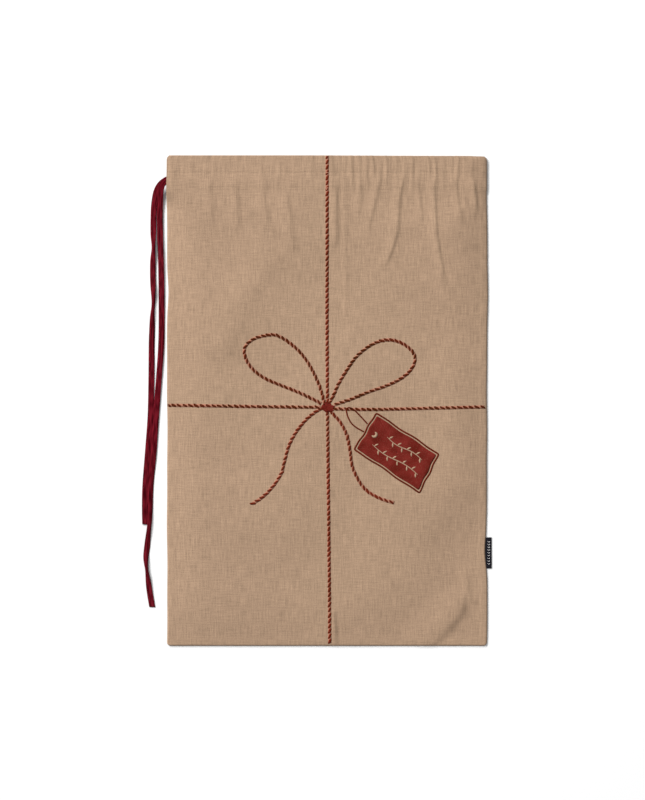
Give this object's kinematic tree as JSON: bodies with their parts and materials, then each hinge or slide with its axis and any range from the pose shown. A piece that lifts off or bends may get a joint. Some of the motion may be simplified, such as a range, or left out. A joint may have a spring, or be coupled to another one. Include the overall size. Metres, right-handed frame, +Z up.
{
  "type": "drawstring gift sack",
  "caption": "Plain-woven cloth gift sack, lying flat, with a velvet ribbon drawstring in a sewn channel at its mouth and a folded side label.",
  "frame": {"origin": "centre of the face that the sack rests on", "axes": "+Y towards the mouth, +X towards the side with the label, +Z up through the sack's thickness"},
  "size_m": [0.5466, 0.765, 0.0136],
  "materials": {
    "linen": "matte plain weave",
    "thread": "matte spun sewing thread",
    "velvet_ribbon": "short-pile velvet",
    "woven_label": "damask woven",
    "print_ink": "flat pigment print on the cloth"
  },
  "bodies": {
    "sack": {"back_panel": "linen", "front_panel": "linen", "back_casing": "linen", "front_casing": "linen", "front_heading_stitch": "thread", "front_channel_stitch": "thread", "back_heading_stitch": "thread", "back_channel_stitch": "thread", "left_seam_allowance": "linen", "left_seam_overlock": "thread", "left_seam_thread": "thread", "right_seam_allowance": "linen", "right_seam_overlock": "thread", "right_seam_thread": "thread", "bottom_seam_allowance": "linen", "bottom_seam_overlock": "thread", "bottom_seam_thread": "thread", "vent_bar_tack": "thread"},
    "drawstring": {"drawstring_casing_run": "velvet_ribbon", "drawstring_short_tail": "velvet_ribbon", "drawstring_long_tail": "velvet_ribbon"},
    "label": {"side_label": "woven_label"}
  },
  "joints": [
    {"name": "drawstring_pull", "type": "slide", "parent": "sack", "child": "drawstring", "axis": [-1, 0, 0], "range_m": [0, 0.28], "deforming": ["front_casing", "back_casing"]},
    {"name": "label_flex", "type": "hinge", "parent": "sack", "child": "label", "pos_m": [0.2506, -0.2371, 0.00095], "axis": [0, -1, 0], "range_deg": [-90, 90], "stiffness_Nm_per_rad": 0.002}
  ]
}
